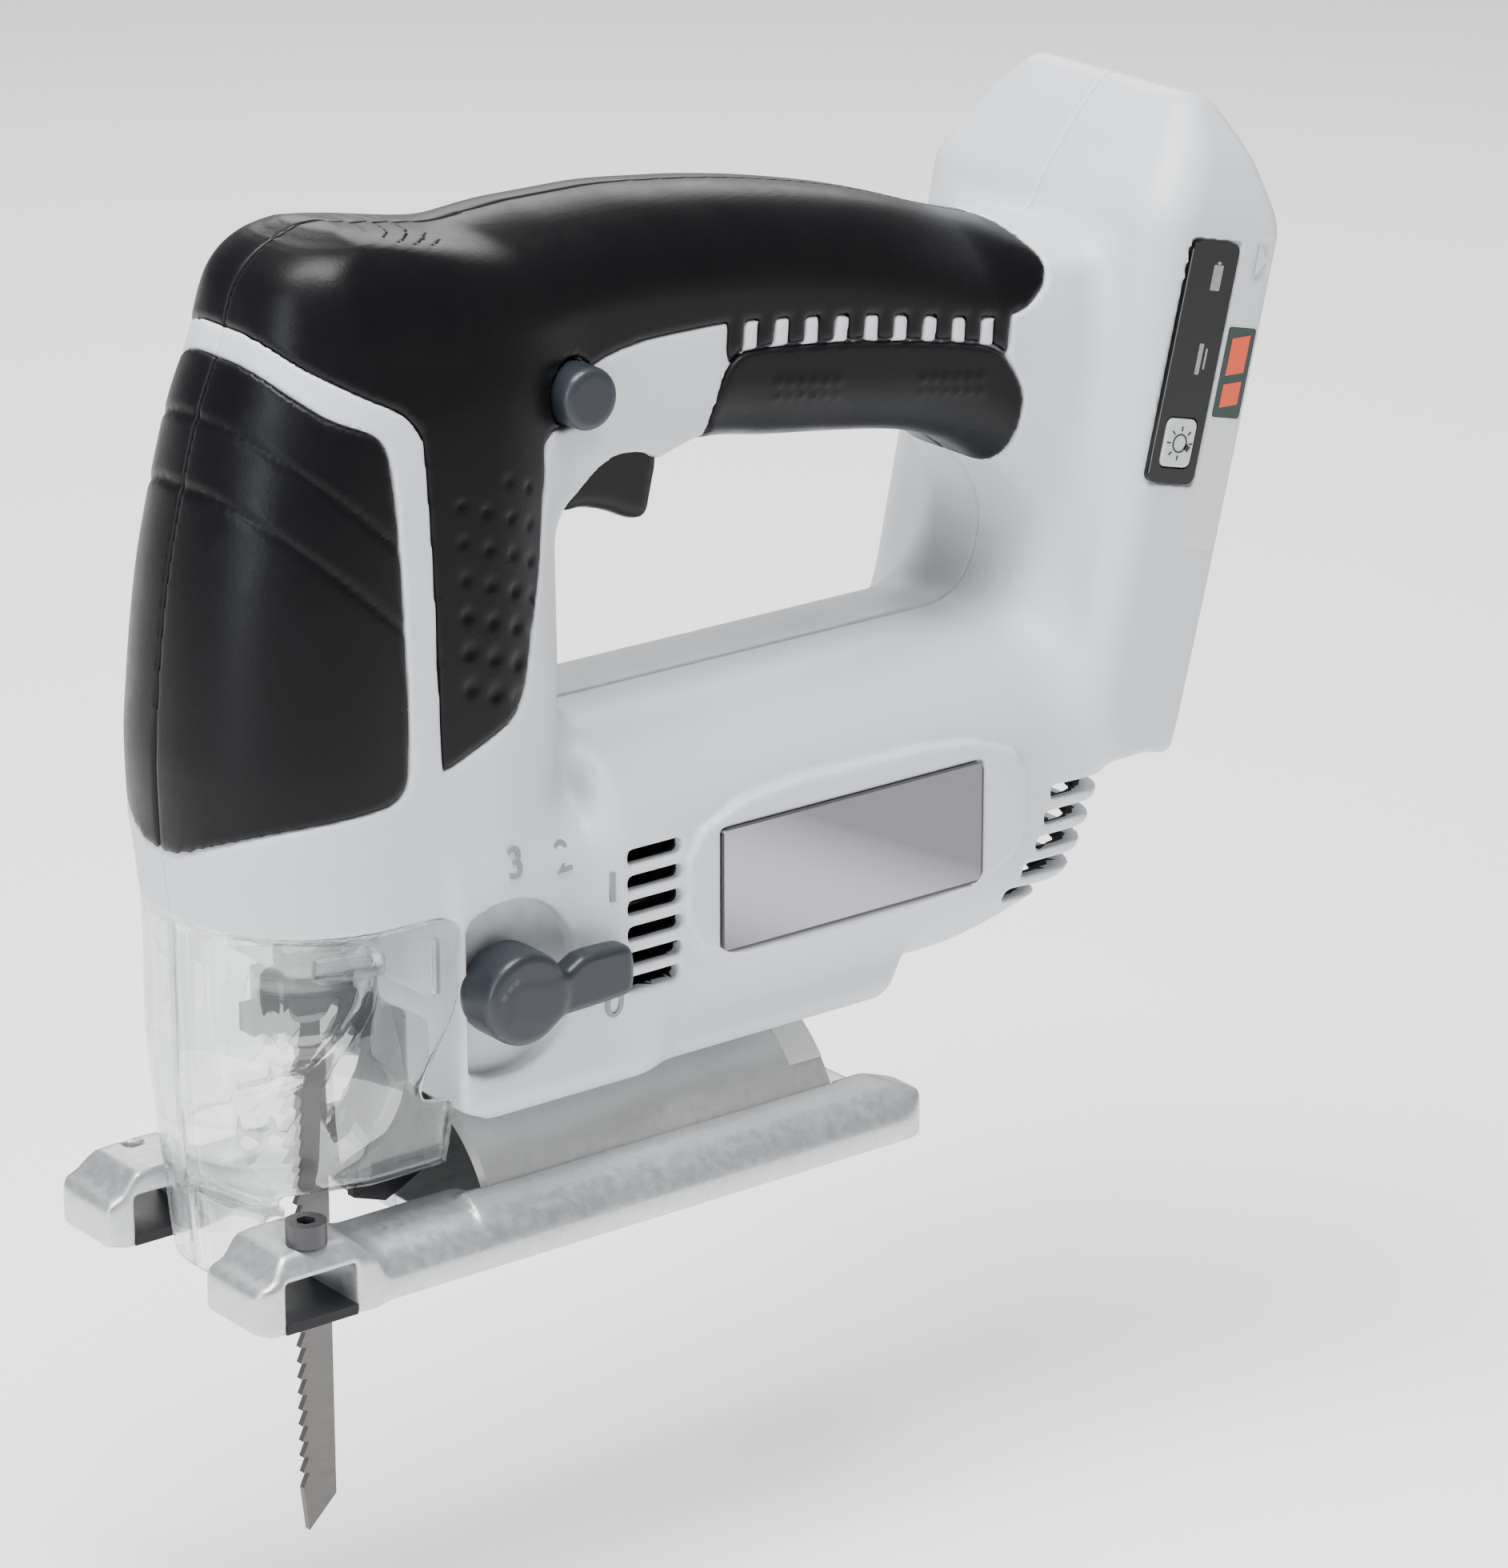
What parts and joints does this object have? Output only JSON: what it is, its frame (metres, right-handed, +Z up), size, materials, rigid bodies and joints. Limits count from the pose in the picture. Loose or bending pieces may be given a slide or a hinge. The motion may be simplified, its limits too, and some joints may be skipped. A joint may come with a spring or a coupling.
{
  "type": "jigsaw power tool",
  "caption": "Cordless handheld jigsaw with a D-handle, barrel motor, clear chip cover, sliding sole plate, fitted blade and an open battery interface at the rear.",
  "frame": {"origin": "on the sole plane and the mid-plane, under the plunger axis", "axes": "+Z up, cutting direction -X, tool left side -Y"},
  "size_m": [0.2215, 0.069, 0.2356],
  "materials": {
    "housing_plastic": "satin",
    "grip_rubber": "fine grained",
    "dark_plastic": "satin",
    "black_plastic": "satin",
    "panel_black": "gloss",
    "button_grey": "satin",
    "plate_metal": "brushed",
    "clear_plastic": "clear",
    "shoe_silver": "fine metallic paint",
    "cast_aluminium": "matte",
    "scale_white": "satin",
    "black_steel": "black oxide",
    "blade_steel": "brushed",
    "steel": "machined",
    "motor_steel": "zinc plated",
    "magnet": "matte",
    "bronze": "sintered",
    "copper": "lacquered",
    "carbon": "matte",
    "board_green": "satin",
    "lamp_lens": "clear"
  },
  "bodies": {
    "housing": {"brush_holder": "black_plastic", "carbon_brushes": "carbon", "carrier_pivot_pin": "steel", "control_board": "board_green", "control_panel": "panel_black", "fork_pivot_pin": "steel", "front_bearing": "steel", "gear_axle": "steel", "gear_case": "cast_aluminium", "housing_screws": "black_steel", "led_lamp": "lamp_lens", "left_finger_grip": "grip_rubber", "left_front_pad": "grip_rubber", "left_grip": "grip_rubber", "left_housing": "housing_plastic", "left_nameplate": "plate_metal", "magnets": "magnet", "motor_can": "motor_steel", "rear_bearing": "steel", "right_finger_grip": "grip_rubber", "right_front_pad": "grip_rubber", "right_grip": "grip_rubber", "right_housing": "housing_plastic", "right_nameplate": "plate_metal", "shoe_clamp_nut": "black_plastic", "shoe_clamp_screw": "black_steel", "switch_body": "black_plastic", "terminal_block": "black_plastic", "terminals": "copper", "trigger_spring": "steel"},
    "armature": {"motor_shaft": "steel", "armature_core": "motor_steel", "armature_windings": "copper", "commutator": "copper", "motor_fan": "black_plastic", "motor_pinion": "steel"},
    "drive_gear": {"drive_gear": "steel", "crank_pin": "steel", "crank_roller": "steel"},
    "plunger_carrier": {"plunger_carrier": "steel", "plunger_bushes": "bronze"},
    "plunger": {"plunger_rod": "steel", "plunger_yoke": "steel", "blade_holder": "steel", "saw_blade": "blade_steel"},
    "clamp_collar": {"clamp_collar": "black_steel"},
    "guide_fork": {"guide_fork": "black_plastic", "roller_pin": "steel"},
    "guide_roller": {"guide_roller": "steel"},
    "orbit_knob": {"orbit_knob": "dark_plastic"},
    "trigger": {"trigger": "black_plastic"},
    "lock_button": {"lock_button": "dark_plastic"},
    "light_button": {"light_button": "button_grey"},
    "shoe": {"shoe_plate": "shoe_silver", "shoe_bracket": "cast_aluminium", "bevel_scale": "scale_white", "fence_slot_plates": "black_plastic", "fence_screw": "black_steel"},
    "dust_cover": {"dust_cover": "clear_plastic"}
  },
  "joints": [
    {"name": "armature_spin", "type": "hinge", "parent": "housing", "child": "armature", "pos_m": [0.1, 0, 0.0565], "axis": [1, 0, 0], "continuous": true},
    {"name": "drive_gear_spin", "type": "hinge", "parent": "housing", "child": "drive_gear", "pos_m": [0.016, 0, 0.08125], "axis": [1, 0, 0], "continuous": true},
    {"name": "orbit_swing", "type": "hinge", "parent": "housing", "child": "plunger_carrier", "pos_m": [-0.0086, 0, 0.122], "axis": [0, 1, 0], "range_deg": [0, 1], "stiffness_Nm_per_rad": 20},
    {"name": "plunger_stroke", "type": "slide", "parent": "plunger_carrier", "child": "plunger", "axis": [0, 0, 1], "range_m": [-0.022, 0]},
    {"name": "clamp_collar_turn", "type": "hinge", "parent": "plunger", "child": "clamp_collar", "pos_m": [0, 0, 0.0455], "axis": [0, 0, 1], "range_deg": [0, 90], "stiffness_Nm_per_rad": 0.05},
    {"name": "guide_fork_swing", "type": "hinge", "parent": "housing", "child": "guide_fork", "pos_m": [0.024, 0, 0.036], "axis": [0, 1, 0], "range_deg": [0, 4.7]},
    {"name": "guide_roller_spin", "type": "hinge", "parent": "guide_fork", "child": "guide_roller", "pos_m": [0.00865, 0, 0.012], "axis": [0, 1, 0], "continuous": true},
    {"name": "orbit_knob_turn", "type": "hinge", "parent": "housing", "child": "orbit_knob", "pos_m": [0.022, -0.03, 0.0498], "axis": [0, -1, 0], "range_deg": [0, 86]},
    {"name": "trigger_pull", "type": "slide", "parent": "housing", "child": "trigger", "axis": [0, 0, 1], "range_m": [0, 0.006], "stiffness_N_per_m": 700, "deforming": ["trigger_spring"]},
    {"name": "lock_button_press", "type": "slide", "parent": "housing", "child": "lock_button", "axis": [0, 1, 0], "range_m": [0, 0.0035], "stiffness_N_per_m": 500},
    {"name": "light_button_press", "type": "slide", "parent": "housing", "child": "light_button", "axis": [0, 1, 0], "range_m": [0, 0.0008], "stiffness_N_per_m": 1500},
    {"name": "shoe_slide", "type": "slide", "parent": "housing", "child": "shoe", "axis": [1, 0, 0], "range_m": [0, 0.008]},
    {"name": "dust_cover_slide", "type": "slide", "parent": "housing", "child": "dust_cover", "axis": [-1, 0, 0], "range_m": [0, 0.065]}
  ],
  "couplings": [
    {"joint": "drive_gear_spin", "follows": "armature_spin", "ratio": -0.17857},
    {"joint": "guide_fork_swing", "follows": "orbit_swing", "ratio": 4.5833}
  ]
}
